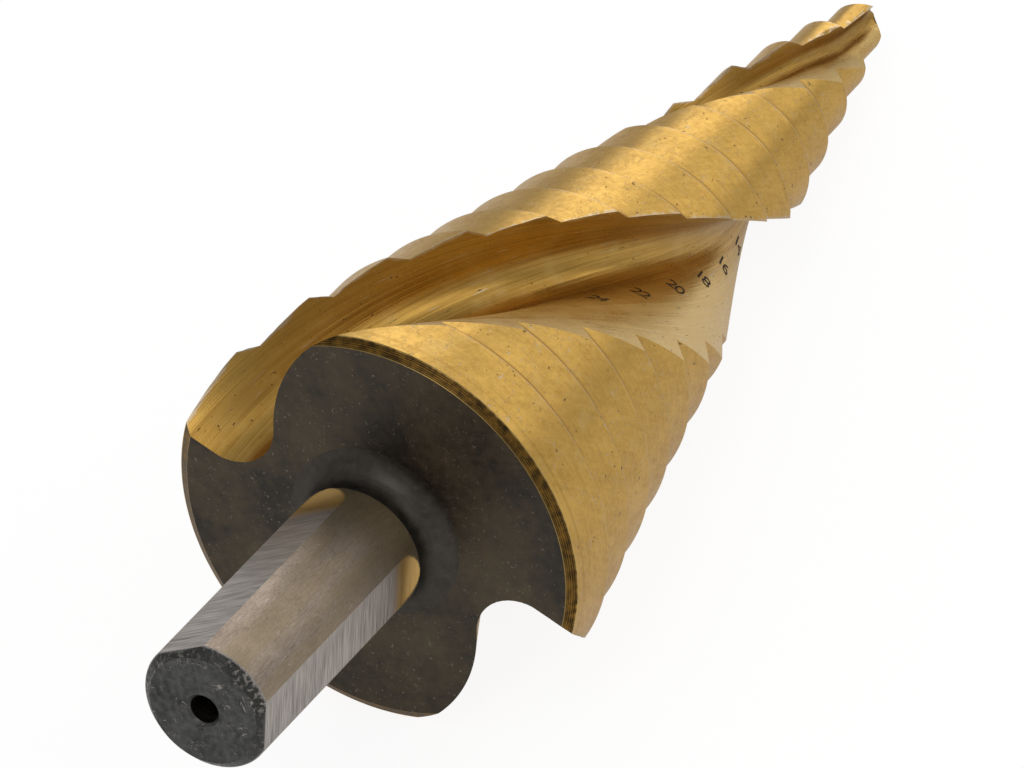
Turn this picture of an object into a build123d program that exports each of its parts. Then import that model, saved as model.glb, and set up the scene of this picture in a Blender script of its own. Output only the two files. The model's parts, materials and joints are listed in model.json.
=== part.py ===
from build123d import *
import math
import os

# Step drill for sheet metal, 4 to 32 mm in 15 steps, with two spiral flutes.
# It is made in tool coordinates first: the tool's axis is +X, the end face of the shank is at X = 0
# and the point is at the far end. Angles about the axis are in degrees from +Y towards +Z.
# At the end the tool is laid down as it would come to rest on a flat surface.

# Sizes of the stepped body
FIRST_DIAMETER = 4.0
DIAMETER_INCREMENT = 2.0
STEP_COUNT = 15
STEP_PITCH = 5.0
SHOULDER_LENGTH = 1.2
FIRST_LAND_LENGTH = 4.2
LAST_LAND_LENGTH = 4.65
POINT_ANGLE = 118.0
FLANK_RELIEF = 30.0
FLANK_LEAD = 10.0
POINT_STOCK = 0.5
CHISEL_SHIFT = 0.2
CHISEL_TURN_SHIFT = 0.15

# Sizes of the shank and of the back of the body
SHANK_DIAMETER = 10.0
SHANK_LENGTH = 22.06
SHANK_END_CHAMFER = 0.75
FLAT_COUNT = 3
FLAT_DEPTH = 0.45
FLAT_RUNOUT_RADIUS = 3.6
RUNOUT_SWEEP = 60.0
FLAT_START_ANGLE = 82.5
NECK_DEPTH = 0.25
NECK_LENGTH = 0.57
ROOT_RADIUS = 2.0
BACK_CHAMFER_LENGTH = 0.5
BACK_CHAMFER_DEPTH = 0.76

# Centre hole in the end of the shank
CENTRE_HOLE_DIAMETER = 2.2
CENTRE_HOLE_DEPTH = 4.5
CENTRE_HOLE_LIP = 0.2
CENTRE_DRILL_ANGLE = 118.0

# How far a cut runs past the surface that it leaves
CUT_MARGIN = 1.0

# The side that the tool lies on, as the turn and the dip of the point that settling starts from
LYING_TURN = -12.0
LYING_DIP = 10.0
FIRST_STRIDE = 2.0
LAST_STRIDE = 0.002
HEADING_STEP = 15
EDGE_SAMPLES = 24

# Flutes: the section is given as shares of the cutter's size, which follows the cone of the steps
FLUTE_COUNT = 2
FLUTE_START_ANGLE = 34.4
FLUTE_TURN_PER_MM = 2.95
FLUTE_EXTRA_TURN = 80.0
FLUTE_MOUTH_ANGLE = 72.0
FLUTE_RAKE = 10.0
FLUTE_POINT_TURN_PER_MM = 2.6
FLUTE_FLOOR_BACK = 0.547
FLUTE_FLOOR_POINT = 0.40
FLUTE_WEB_THINNING = 0.2
FLUTE_CORNER_SHARE = 0.219
FLUTE_CORNER_OPENING = 0.12
FLUTE_HEEL_SHARE = 0.6625
FLUTE_INSET = 0.4
FLUTE_BLEND = 0.5
FLUTE_STATION_GAP = 3.2

# Places along the axis, worked out from the sizes
neck_end = SHANK_LENGTH + NECK_LENGTH
back_face = neck_end + ROOT_RADIUS
body_start = back_face + BACK_CHAMFER_LENGTH
last_rim = body_start + LAST_LAND_LENGTH
first_rim = last_rim + (STEP_COUNT - 2) * STEP_PITCH
point_corner = first_rim + SHOULDER_LENGTH + FIRST_LAND_LENGTH
first_radius = FIRST_DIAMETER / 2
last_radius = first_radius + (STEP_COUNT - 1) * DIAMETER_INCREMENT / 2
shank_radius = SHANK_DIAMETER / 2
flat_distance = shank_radius - FLAT_DEPTH
neck_radius = shank_radius - NECK_DEPTH
point_length = first_radius / math.tan(math.radians(POINT_ANGLE / 2))
apex = point_corner + point_length
blank_end = apex + POINT_STOCK
radius_step = DIAMETER_INCREMENT / 2


def turned_blank():
    """The outline of half of the tool, turned about its axis: shank, root radius, back face and steps."""
    outline = [(0, 0), (0, shank_radius - SHANK_END_CHAMFER), (SHANK_END_CHAMFER, shank_radius)]
    outline += [(SHANK_LENGTH, shank_radius), (SHANK_LENGTH, neck_radius), (neck_end, neck_radius)]
    root_edge = (back_face, neck_radius + ROOT_RADIUS)
    front = [root_edge, (back_face, last_radius - BACK_CHAMFER_DEPTH), (body_start, last_radius)]
    for step in range(STEP_COUNT - 1):
        rim = last_rim + step * STEP_PITCH
        radius = last_radius - step * radius_step
        front += [(rim, radius), (rim + SHOULDER_LENGTH, radius - radius_step)]
    front += [(blank_end, first_radius), (blank_end, 0)]
    with BuildSketch(Plane.XY) as half:
        with BuildLine():
            Polyline(*outline)
            RadiusArc((neck_end, neck_radius), root_edge, ROOT_RADIUS)
            Polyline(*front)
            Line((blank_end, 0), (0, 0))
        make_face()
    return revolve(half.sketch, axis=Axis.X)


def flank_waste(lip_angle):
    """What grinding one flank of the point takes away: all outside a cone that is tilted about the lip."""
    reach = 4 * point_length
    base = reach * math.tan(math.radians(POINT_ANGLE / 2))
    with BuildSketch(Plane.XY) as half:
        with BuildLine():
            Polyline((apex, 0), (apex - reach, base), (apex - reach, 0), (apex, 0))
        make_face()
    angle = math.radians(lip_angle)
    along_lip = Vector(0, math.cos(angle), math.sin(angle))
    behind_lip = Vector(0, math.sin(angle), -math.cos(angle))
    # the two shifts leave a short chisel edge across the axis
    shift = along_lip * -CHISEL_TURN_SHIFT - behind_lip * CHISEL_SHIFT
    cone = revolve(half.sketch, axis=Axis.X).rotate(Axis((apex, 0, 0), along_lip), FLANK_RELIEF)
    cone = Pos(shift) * cone
    waste_start = apex - 2 * point_length
    waste = Plane.YZ.offset(waste_start) * Circle(first_radius + CUT_MARGIN)
    return extrude(waste, blank_end + CUT_MARGIN - waste_start) - cone


def cutter_radius(place):
    """The size of the flute cutter's section at a place: it follows the cone of the steps, then stays level."""
    cone = last_radius - FLUTE_INSET - (place - last_rim) * radius_step / STEP_PITCH
    return (cone + first_radius + math.hypot(cone - first_radius, FLUTE_BLEND)) / 2


def cutting_edge_angle(place):
    """The turn of the first flute's cutting edge: it quickens up to the first step, and slows down there."""
    along = min(place, first_rim) - body_start
    past_rim = max(place - first_rim, 0)
    length = point_corner - body_start
    turn = FLUTE_START_ANGLE + FLUTE_TURN_PER_MM * along + FLUTE_EXTRA_TURN * (along / length) ** 3
    return turn + FLUTE_POINT_TURN_PER_MM * past_rim


def circle_crossing(centre, radius, other_centre, other_radius):
    """The crossing of two circles that lies left of the line from the first centre to the second."""
    gap = other_centre - centre
    along = (gap.length ** 2 + radius ** 2 - other_radius ** 2) / (2 * gap.length)
    across = math.sqrt(radius ** 2 - along ** 2)
    unit = gap.normalized()
    return centre + unit * along + Vector(-unit.Y, unit.X) * across


def arc_middle(centre, start, end):
    """The middle point of the arc about a centre between two of its points."""
    middle = ((start - centre).normalized() + (end - centre).normalized()).normalized()
    return centre + middle * (start - centre).length


def flute_section(place, turn):
    """The flute's section: a raked cutting face, a round floor corner and a rounded heel, all tangent."""
    size = cutter_radius(place)
    share = (size - first_radius) / (last_radius - first_radius)
    floor = FLUTE_FLOOR_POINT + (FLUTE_FLOOR_BACK - FLUTE_FLOOR_POINT) * math.sqrt(max(share, 0))
    # the web is thinned and the floor's corner opens from the second rim to the point
    thinned = (place - first_rim + STEP_PITCH) / (point_corner - first_rim + STEP_PITCH)
    thinned = min(max(thinned, 0), 1)
    floor -= FLUTE_WEB_THINNING * thinned
    rake = math.radians(FLUTE_RAKE)
    mouth = math.radians(FLUTE_MOUTH_ANGLE)
    corner = FLUTE_CORNER_SHARE + FLUTE_CORNER_OPENING * thinned
    inward = Vector(-math.cos(rake), -math.sin(rake))
    into_flute = Vector(inward.Y, -inward.X)
    edge = Vector(1, 0)
    # the corner circle touches the face and reaches the floor
    along = (1 + into_flute.X * corner - corner - floor) / math.cos(rake)
    face_end = edge + inward * along
    corner_centre = face_end + into_flute * corner
    heel = Vector(math.cos(mouth), math.sin(mouth))
    heel_centre = circle_crossing(corner_centre, corner + FLUTE_HEEL_SHARE, heel, FLUTE_HEEL_SHARE)
    meeting = heel_centre + (corner_centre - heel_centre).normalized() * FLUTE_HEEL_SHARE
    floor_point = arc_middle(corner_centre, face_end, meeting)
    wall_point = arc_middle(heel_centre, meeting, heel)
    spoke = (heel - heel_centre).normalized()
    # the cutter reaches past the steps, whose radius is up to a step and the inset above its own
    margin = FLUTE_BLEND + (radius_step + FLUTE_INSET) / size
    outer = edge - inward * margin
    heel_out = heel + Vector(-spoke.Y, spoke.X) * margin
    far = Vector(outer.X, heel_out.Y)
    plane = Plane(
        origin=(place, 0, 0),
        x_dir=(0, math.cos(math.radians(turn)), math.sin(math.radians(turn))),
        z_dir=(1, 0, 0),
    )
    with BuildLine() as outline:
        Line(outer * size, face_end * size)
        ThreePointArc(face_end * size, floor_point * size, meeting * size)
        ThreePointArc(meeting * size, wall_point * size, heel * size)
        Line(heel * size, heel_out * size)
        Line(heel_out * size, far * size)
        Line(far * size, outer * size)
    return plane.from_local_coords(outline.wire())


def flute_cutter(start_turn):
    """The space of one flute, lofted through turned sections from behind the back face to past the point.

    The sections are close enough together for the loft to follow the spiral.
    """
    start = back_face - CUT_MARGIN
    end = blank_end + CUT_MARGIN
    count = round((end - start) / FLUTE_STATION_GAP)
    places = [start + (end - start) * step / count for step in range(count + 1)]
    sections = [flute_section(place, start_turn + cutting_edge_angle(place)) for place in places]
    return Solid.make_loft(sections)


def flat_cutter(angle):
    """The space that one flat of the shank is milled from, with its round run-out before the neck."""
    runout = math.sqrt(2 * FLAT_RUNOUT_RADIUS * FLAT_DEPTH - FLAT_DEPTH ** 2)
    start = SHANK_LENGTH - runout
    sweep = math.radians(RUNOUT_SWEEP)
    top = flat_distance + FLAT_RUNOUT_RADIUS * (1 - math.cos(sweep))
    end = start + FLAT_RUNOUT_RADIUS * math.sin(sweep)
    with BuildSketch(Plane.XY) as side:
        with BuildLine():
            Polyline((-CUT_MARGIN, top), (-CUT_MARGIN, flat_distance), (start, flat_distance))
            CenterArc((start, flat_distance + FLAT_RUNOUT_RADIUS), FLAT_RUNOUT_RADIUS, -90, RUNOUT_SWEEP)
            Line((end, top), (-CUT_MARGIN, top))
        make_face()
    return extrude(side.sketch, shank_radius, both=True).rotate(Axis.X, angle)


def centre_hole():
    """The centre hole in the end face, with a broken lip and a drilled cone at its bottom."""
    radius = CENTRE_HOLE_DIAMETER / 2
    bottom = CENTRE_HOLE_DEPTH + radius / math.tan(math.radians(CENTRE_DRILL_ANGLE / 2))
    mouth = [(-CUT_MARGIN, 0), (-CUT_MARGIN, radius + CENTRE_HOLE_LIP), (0, radius + CENTRE_HOLE_LIP)]
    wall = [(CENTRE_HOLE_LIP, radius), (CENTRE_HOLE_DEPTH, radius), (bottom, 0), (-CUT_MARGIN, 0)]
    with BuildSketch(Plane.XY) as half:
        with BuildLine():
            Polyline(*mouth, *wall)
        make_face()
    return revolve(half.sketch, axis=Axis.X)


def lying_pose(solid):
    """The turn about the axis and the dip of the point at which the tool settles on a flat surface.

    It lies stably where the height of its centre of mass above its lowest point is smallest.
    """
    shares = [sample / EDGE_SAMPLES for sample in range(EDGE_SAMPLES + 1)]
    centre = solid.center(CenterOf.MASS)
    arms = [centre - edge.position_at(share) for edge in solid.edges() for share in shares]
    arms = [(arm.X, arm.Y, arm.Z) for arm in arms]

    def height(pose):
        turn, dip = (math.radians(angle) for angle in pose)
        up = (-math.sin(dip), math.cos(dip) * math.sin(turn), math.cos(dip) * math.cos(turn))
        return max(x * up[0] + y * up[1] + z * up[2] for x, y, z in arms)

    pose = (LYING_TURN, LYING_DIP)
    best = height(pose)
    stride = FIRST_STRIDE
    while stride > LAST_STRIDE:
        moved = False
        for heading in range(0, 360, HEADING_STEP):
            way = math.radians(heading)
            trial = (pose[0] + stride * math.cos(way), pose[1] + stride * math.sin(way))
            trial_height = height(trial)
            if trial_height < best:
                pose, best, moved = trial, trial_height, True
        if not moved:
            stride /= 2
    return pose


tool = turned_blank()
lip_turn = cutting_edge_angle(point_corner) + FLANK_LEAD
for flute in range(FLUTE_COUNT):
    tool -= flank_waste(lip_turn + flute * 360 / FLUTE_COUNT)
for flute in range(FLUTE_COUNT):
    tool -= flute_cutter(flute * 360 / FLUTE_COUNT)
for flat in range(FLAT_COUNT):
    tool -= flat_cutter(FLAT_START_ANGLE + flat * 360 / FLAT_COUNT)
tool -= centre_hole()

turn, dip = lying_pose(tool)
tool = tool.rotate(Axis.X, turn).rotate(Axis.Y, dip)
box = tool.bounding_box()
shank_end = Vector(-box.center().X, -box.center().Y, -box.min.Z)
tool = Pos(shank_end) * tool

print("lying turn", round(turn, 3), "dip", round(dip, 3), "middle of the shank's end face", shank_end)
print("volume", round(tool.volume, 1), "solids", len(tool.solids()), "valid", tool.is_valid)
os.makedirs("parts", exist_ok=True)
export_step(tool, "parts/step_drill.step")
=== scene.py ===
# %% [markdown] # Step drill A step drill is a cone of round steps with two spiral flutes. Each step opens a hole in sheet metal to its own diameter, and the numbers etched in a flute tell how wide the hole is. This one has 15 steps from 4 to 32 mm, a gold coat on the ground body and a plain steel shank of 10 mm. The tool was drawn in a CAD program first. Its model could be coloured as it is, but its faces are loose triangles that don't follow the edges, so the visible pieces are made anew here and take the model's place. Everything is in metres, in the model's frame.

# %% Load the frame
import json
import math
import bmesh
import bpy
from mathutils import Matrix, Vector
from mathutils.bvhtree import BVHTree

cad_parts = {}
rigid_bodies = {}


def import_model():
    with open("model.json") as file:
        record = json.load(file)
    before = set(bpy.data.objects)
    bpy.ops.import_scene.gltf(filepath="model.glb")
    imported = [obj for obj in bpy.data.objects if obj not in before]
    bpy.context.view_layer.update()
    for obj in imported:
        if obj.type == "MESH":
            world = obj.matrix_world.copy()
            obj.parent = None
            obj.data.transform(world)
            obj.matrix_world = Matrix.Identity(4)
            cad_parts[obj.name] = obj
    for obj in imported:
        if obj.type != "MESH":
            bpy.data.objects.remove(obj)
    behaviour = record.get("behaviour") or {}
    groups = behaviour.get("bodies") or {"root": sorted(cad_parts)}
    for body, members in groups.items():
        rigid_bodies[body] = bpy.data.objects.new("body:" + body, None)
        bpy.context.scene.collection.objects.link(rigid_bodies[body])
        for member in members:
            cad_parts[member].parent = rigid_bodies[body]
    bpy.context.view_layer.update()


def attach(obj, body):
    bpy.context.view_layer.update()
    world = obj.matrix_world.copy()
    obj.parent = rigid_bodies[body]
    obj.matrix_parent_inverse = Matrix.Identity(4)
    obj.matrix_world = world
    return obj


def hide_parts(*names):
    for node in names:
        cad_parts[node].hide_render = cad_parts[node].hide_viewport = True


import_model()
scene = bpy.context.scene

# %% [markdown]
# ## Where the tool lies
# A real step drill can't stand, so it lies on its steps with its point dipped. It could be modelled in that
# pose, but every step is simplest along a straight axis. So each piece is made in the tool's own
# coordinates, in millimetres: the axis is +X, the end face of the shank is at X = 0 and the point is at the
# far end. One matrix lays it down: it turns the tool about its axis, dips the point, puts the shank at its
# height and goes from millimetres to metres.

# %% Tool coordinates
LYING_TURN = math.radians(-13.77)
LYING_DIP = math.radians(9.733)
SHANK_END = Vector((-49.4097, 0.0, 20.243))
METRES_PER_MM = 0.001
lying = Matrix.Rotation(LYING_DIP, 4, "Y") @ Matrix.Rotation(LYING_TURN, 4, "X")
tool_to_part = Matrix.Scale(METRES_PER_MM, 4) @ Matrix.Translation(SHANK_END) @ lying
print("the shank's end is at", [round(v, 4) for v in tool_to_part @ Vector((0, 0, 0))])

# %% [markdown]
# ## Camera
# The photograph looks as if taken through a long lens from behind the shank: the near shank hardly looks
# larger than the far point. A camera could be placed by eye. Here it is set by two angles, a roll and a
# distance from a place near the middle of the tool, because these numbers can be fitted to the rims of the
# steps, and that was done.

# %% Camera
TARGET = Vector((-0.003438, 0.001119, 0.011381))
CAMERA_AZIMUTH = math.radians(-144.5396)
CAMERA_ELEVATION = math.radians(39.3936)
CAMERA_ROLL = math.radians(12.6593)
CAMERA_DISTANCE = 0.928606
LENS = 455.22

towards_camera = Vector((
    math.cos(CAMERA_ELEVATION) * math.cos(CAMERA_AZIMUTH),
    math.cos(CAMERA_ELEVATION) * math.sin(CAMERA_AZIMUTH),
    math.sin(CAMERA_ELEVATION),
))
camera_data = bpy.data.cameras.new("camera")
camera_data.sensor_width = 36
camera_data.lens = LENS
camera_data.clip_start = 0.01
camera_data.clip_end = 20
camera = bpy.data.objects.new("camera", camera_data)
camera.rotation_mode = "QUATERNION"
camera.location = TARGET + towards_camera * CAMERA_DISTANCE
aim = (-towards_camera).to_track_quat("-Z", "Y")
camera.rotation_quaternion = aim @ Matrix.Rotation(-CAMERA_ROLL, 4, "Z").to_quaternion()
scene.collection.objects.link(camera)
scene.camera = camera
print("the camera is at", [round(v, 4) for v in camera.location])

# %% [markdown]
# ## Fields and node graphs
# The shape of the body and the looks of the metal are both sums over many points, which Blender does with
# nodes. Nodes can be drawn by hand, but a long rule soon becomes a web that nobody can read. So a small
# class wraps the output of a node and gives it Python's signs: `1 - mask * 0.5` adds three nodes and links
# them. The same class serves the geometry and the shaders, because both know the Math node.

# %% Field
class Field:
    """An output of a node that can be used in sums."""

    def __init__(self, graph, socket):
        self.graph = graph
        self.socket = socket

    def math(self, operation, *others):
        return self.graph.node("ShaderNodeMath", [self, *others], operation=operation)

    def __add__(self, other):
        return self.math("ADD", other)

    def __radd__(self, other):
        return self.graph.number(other).math("ADD", self)

    def __sub__(self, other):
        return self.math("SUBTRACT", other)

    def __rsub__(self, other):
        return self.graph.number(other).math("SUBTRACT", self)

    def __mul__(self, other):
        return self.math("MULTIPLY", other)

    def __rmul__(self, other):
        return self.graph.number(other).math("MULTIPLY", self)

    def __truediv__(self, other):
        return self.math("DIVIDE", other)

    def __rtruediv__(self, other):
        return self.graph.number(other).math("DIVIDE", self)

    def __pow__(self, other):
        return self.math("POWER", other)

    def __neg__(self):
        return self.math("MULTIPLY", -1.0)

    def __gt__(self, other):
        return self.math("GREATER_THAN", other)

    def __lt__(self, other):
        return self.math("LESS_THAN", other)

    def sin(self):
        return self.math("SINE")

    def cos(self):
        return self.math("COSINE")

    def acos(self):
        return self.math("ARCCOSINE")

    def angle_to(self, other):
        """The angle of a direction: this field is its sideways part and the other its forward part."""
        return self.math("ARCTAN2", other)

    def sqrt(self):
        return self.math("SQRT")

    def floor(self):
        return self.math("FLOOR")

    def abs(self):
        return self.math("ABSOLUTE")

    def min(self, other):
        return self.math("MINIMUM", other)

    def max(self, other):
        return self.math("MAXIMUM", other)

    def clamp(self):
        return self.max(0.0).min(1.0)

    def towards(self, other, share):
        """This field at share 0 and the other at share 1."""
        return self + (other - self) * share

    def ramp(self, low, high):
        """A smooth rise from 0 at low to 1 at high."""
        inputs = {"Value": self, "From Min": low, "From Max": high}
        return self.graph.node("ShaderNodeMapRange", inputs, interpolation_type="SMOOTHSTEP")


print("a field knows", len([name for name in vars(Field) if callable(getattr(Field, name))]), "sums")

# %% [markdown]
# A graph adds the nodes. One method makes any node from its type, its settings and the values or links of
# its sockets, so that no other line of this lesson has to touch a link.

# %% Graph
class Graph:
    """A node tree to which nodes are added by calls."""

    def __init__(self, tree):
        self.tree = tree

    def node(self, kind, inputs=(), output=0, **settings):
        made = self.tree.nodes.new(kind)
        for name, value in settings.items():
            setattr(made, name, value)
        pairs = inputs.items() if isinstance(inputs, dict) else enumerate(inputs)
        for name, value in pairs:
            if isinstance(value, Field):
                self.tree.links.new(value.socket, made.inputs[name])
            else:
                made.inputs[name].default_value = value
        return Field(self, made.outputs[output])

    def number(self, value):
        return self.node("ShaderNodeMath", [float(value), 0.0], operation="ADD")

    def vector(self, x, y, z):
        return self.node("ShaderNodeCombineXYZ", [x, y, z])

    def attribute(self, name, output="Fac"):
        return self.node("ShaderNodeAttribute", output=output, attribute_name=name)

    def axis(self, vector, number):
        """One of the three coordinates of a vector."""
        return self.node("ShaderNodeSeparateXYZ", [vector], output=number)

    def noise(self, place, stretch, detail=2.0):
        """Noise whose grains along each axis are one over the stretch in size."""
        stretched = self.node("ShaderNodeVectorMath", [place, stretch], operation="MULTIPLY")
        return self.node("ShaderNodeTexNoise", {"Vector": stretched, "Scale": 1.0, "Detail": detail})

    def mix(self, share, first, second):
        """The first colour at share 0 and the second at share 1."""
        return self.node("ShaderNodeMix", {0: share, 6: first, 7: second}, output=2, data_type="RGBA")


print("a graph knows", [name for name in vars(Graph) if not name.startswith("_")])

# %% [markdown]
# ## The fluted body
# On the real tool the body is a bar that is turned to steps, then two flutes are ground into it along a
# spiral, and the end is ground to a point. It could be carved the same way, with a solid for the bar and a
# boolean for each flute, but a boolean leaves ragged triangles along the spiral, just where the light shows
# every flaw. So the body is one grid that is bent by a rule: each row is a place along the tool and each
# column is a place around it, and both follow the edges.
#
# The first sizes are those of the steps. They are the CAD model's, in millimetres.

# %% Sizes of the steps
STEP_COUNT = 15
LAST_RADIUS = 16.0
FIRST_RADIUS = 2.0
RADIUS_STEP = 1.0
STEP_PITCH = 5.0
SHOULDER_LENGTH = 1.2
BACK_FACE = 24.63
BACK_CHAMFER_DEPTH = 0.76
BODY_START = 25.13
LAST_RIM = 29.78
FIRST_RIM = 94.78
POINT_CORNER = 100.18
LAND_RELIEF = 0.3
print("the steps go from", 2 * FIRST_RADIUS, "to", 2 * LAST_RADIUS, "mm in diameter")

# %% [markdown]
# ### Rows and columns
# A crease of the real tool has to fall on a line of the grid. So each zone has rows or columns of its own:
# back face, chamfer, lands, shoulders and point along the tool, and face, corner, heel and land around it.
# The flute and the land come twice around, because the tool has two flutes.

# %% Rows and columns of the grid
BACK_ROWS = 6
CHAMFER_ROWS = 3
LAND_ROWS = 10
SHOULDER_ROWS = 4
POINT_ROWS = 5
STEP_ROWS = (STEP_COUNT - 1) * (SHOULDER_ROWS + LAND_ROWS)
ROWS = BACK_ROWS + CHAMFER_ROWS + LAND_ROWS + STEP_ROWS + POINT_ROWS
FACE_COLUMNS = 8
CORNER_COLUMNS = 14
HEEL_COLUMNS = 28
LAND_COLUMNS = 70
FLUTE_COLUMNS = FACE_COLUMNS + CORNER_COLUMNS + HEEL_COLUMNS
HALF_COLUMNS = FLUTE_COLUMNS + LAND_COLUMNS
COLUMNS = 2 * HALF_COLUMNS


def zone_shares(column):
    """How far a column has come through the face, the corner, the heel and the land, each from 0 to 1."""
    shares = []
    start = 0
    for columns in (FACE_COLUMNS, CORNER_COLUMNS, HEEL_COLUMNS, LAND_COLUMNS):
        shares.append(((column - start) / columns).clamp())
        start += columns
    return shares


print("the grid has", ROWS, "rows and", COLUMNS, "columns")

# %% [markdown]
# ### The spiral
# The flutes turn about the axis as they run to the point, and the turn quickens, so that a narrow step cuts
# as steeply as a wide one. A twist modifier turns by the same angle in each millimetre, so the turn is a
# rule instead: a straight part and a part that grows with the cube of the way. The steps shrink in a cone,
# and the size of the flute's section follows that cone and then stays level at the first step.

# %% Turn and size along the spiral
FLUTE_INSET = 0.4
FLUTE_BLEND = 0.5


def edge_angle(along, sizes):
    """The turn of the first cutting edge in radians, which quickens up to the first step."""
    length = POINT_CORNER - BODY_START
    from_start = along.min(FIRST_RIM) - BODY_START
    turn = sizes["Start Angle"] + sizes["Turn per mm"] * from_start
    turn = turn + sizes["Extra Turn"] * (from_start / length) ** 3
    turn = turn + sizes["Point Turn per mm"] * (along - FIRST_RIM).max(0.0)
    return turn * math.radians(1)


def cutter_size(along):
    """The size of the flute's section: it follows the cone of the steps, then stays level."""
    cone = (LAST_RADIUS - FLUTE_INSET) - (along - LAST_RIM) * RADIUS_STEP / STEP_PITCH
    return (cone + FIRST_RADIUS + ((cone - FIRST_RADIUS) ** 2 + FLUTE_BLEND ** 2).sqrt()) / 2


def turned(x, y, angle):
    """A section's point turned about the tool's axis."""
    return x * angle.cos() - y * angle.sin(), x * angle.sin() + y * angle.cos()


print("the cone shrinks by", RADIUS_STEP / STEP_PITCH, "mm in each millimetre")

# %% [markdown]
# ### The section of a flute
# Cut across, a flute shows the form of the wheel that ground it: a flat cutting face that leans forward, a
# small round corner that rolls the chip, and a wide round heel wall. A drawn curve could be swept along the
# spiral, but its points would slide off the edges as the steps shrink. Three curves that touch each other
# are worked out for a section of size 1, and each column then has its place on one of them.

# %% The flute's three curves
RAKE_DEGREES = 10.0
RAKE_COS = math.cos(math.radians(RAKE_DEGREES))
RAKE_SIN = math.sin(math.radians(RAKE_DEGREES))
MOUTH_DEGREES = 72.0
MOUTH_X = math.cos(math.radians(MOUTH_DEGREES))
MOUTH_Y = math.sin(math.radians(MOUTH_DEGREES))
FLOOR_SHARE = 0.40
FLOOR_GROWTH = 0.147
CORNER_SHARE = 0.219
HEEL_SHARE = 0.6625
WEB_THINNING = 0.2
CORNER_OPENING = 0.12


def flute_curves(along):
    """The length of the flat face, the corner's middle and radius, and the heel's middle, at size 1."""
    share = ((cutter_size(along) - FIRST_RADIUS) / (LAST_RADIUS - FIRST_RADIUS)).max(0.0)
    thinned = ((along - (FIRST_RIM - STEP_PITCH)) / (POINT_CORNER - FIRST_RIM + STEP_PITCH)).clamp()
    floor = FLOOR_SHARE + FLOOR_GROWTH * share.sqrt() - WEB_THINNING * thinned
    corner = CORNER_SHARE + CORNER_OPENING * thinned
    face_length = (1 - corner * (1 + RAKE_SIN) - floor) / RAKE_COS
    corner_x = 1 - RAKE_COS * face_length - RAKE_SIN * corner
    corner_y = RAKE_COS * corner - RAKE_SIN * face_length
    # the heel's circle touches the corner's circle and ends at the mouth
    gap_x = MOUTH_X - corner_x
    gap_y = MOUTH_Y - corner_y
    gap = (gap_x * gap_x + gap_y * gap_y).sqrt()
    both = corner + HEEL_SHARE
    reach = (gap * gap + both * both - HEEL_SHARE ** 2) / (gap * 2)
    aside = (both * both - reach * reach).sqrt()
    heel_x = corner_x + (gap_x * reach - gap_y * aside) / gap
    heel_y = corner_y + (gap_y * reach + gap_x * aside) / gap
    return face_length, (corner_x, corner_y, corner), (heel_x, heel_y)


print("the heel's circle is", round(HEEL_SHARE / CORNER_SHARE, 1), "times as wide as the corner's")

# %% [markdown]
# The heel wall ends where it meets the land. Each step's land stands a little higher or lower than the
# flute's cone, so this place is worked out for every row: the land's circle cuts the heel's circle, and
# where it stands higher, the wall runs on straight until it meets it.

# %% The end of the heel wall
def heel_ending(heel, rim):
    """The angle at which the heel's circle ends, whether the land is high, and where the wall ends."""
    heel_x, heel_y = heel
    mouth_angle = (MOUTH_Y - heel_y).angle_to(MOUTH_X - heel_x)
    middle_out = (heel_x * heel_x + heel_y * heel_y).sqrt()
    cut_cos = (middle_out * middle_out + HEEL_SHARE ** 2 - rim * rim) / (middle_out * 2 * HEEL_SHARE)
    cut_angle = (-heel_y).angle_to(-heel_x) + cut_cos.max(-1.0).min(1.0).acos()
    tangent_x = -mouth_angle.sin()
    tangent_y = mouth_angle.cos()
    forward = tangent_x * MOUTH_X + tangent_y * MOUTH_Y
    overshoot = (forward * forward + rim * rim - 1).max(0.0).sqrt() - forward
    high = rim > 1.0
    heel_end = cut_angle.towards(mouth_angle, high)
    last_x = (heel_x + heel_end.cos() * HEEL_SHARE) + tangent_x * overshoot * high
    last_y = (heel_y + heel_end.sin() * HEEL_SHARE) + tangent_y * overshoot * high
    return heel_end, high, last_x, last_y


print("a land that stands above the cone makes the wall longer")

# %% [markdown]
# ### The whole section
# The section is half of a turn: one flute and the land behind it. On the real tool the land falls away a
# little behind the cutting edge, so that only the edge rubs. The half could be drawn as a curve for every
# row, but a rule gives all rows at once: the column says which of the four zones a point is in, and the
# zones replace each other one by one.

# %% The section's rule
CHIP_ZONE = 0.035


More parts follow.
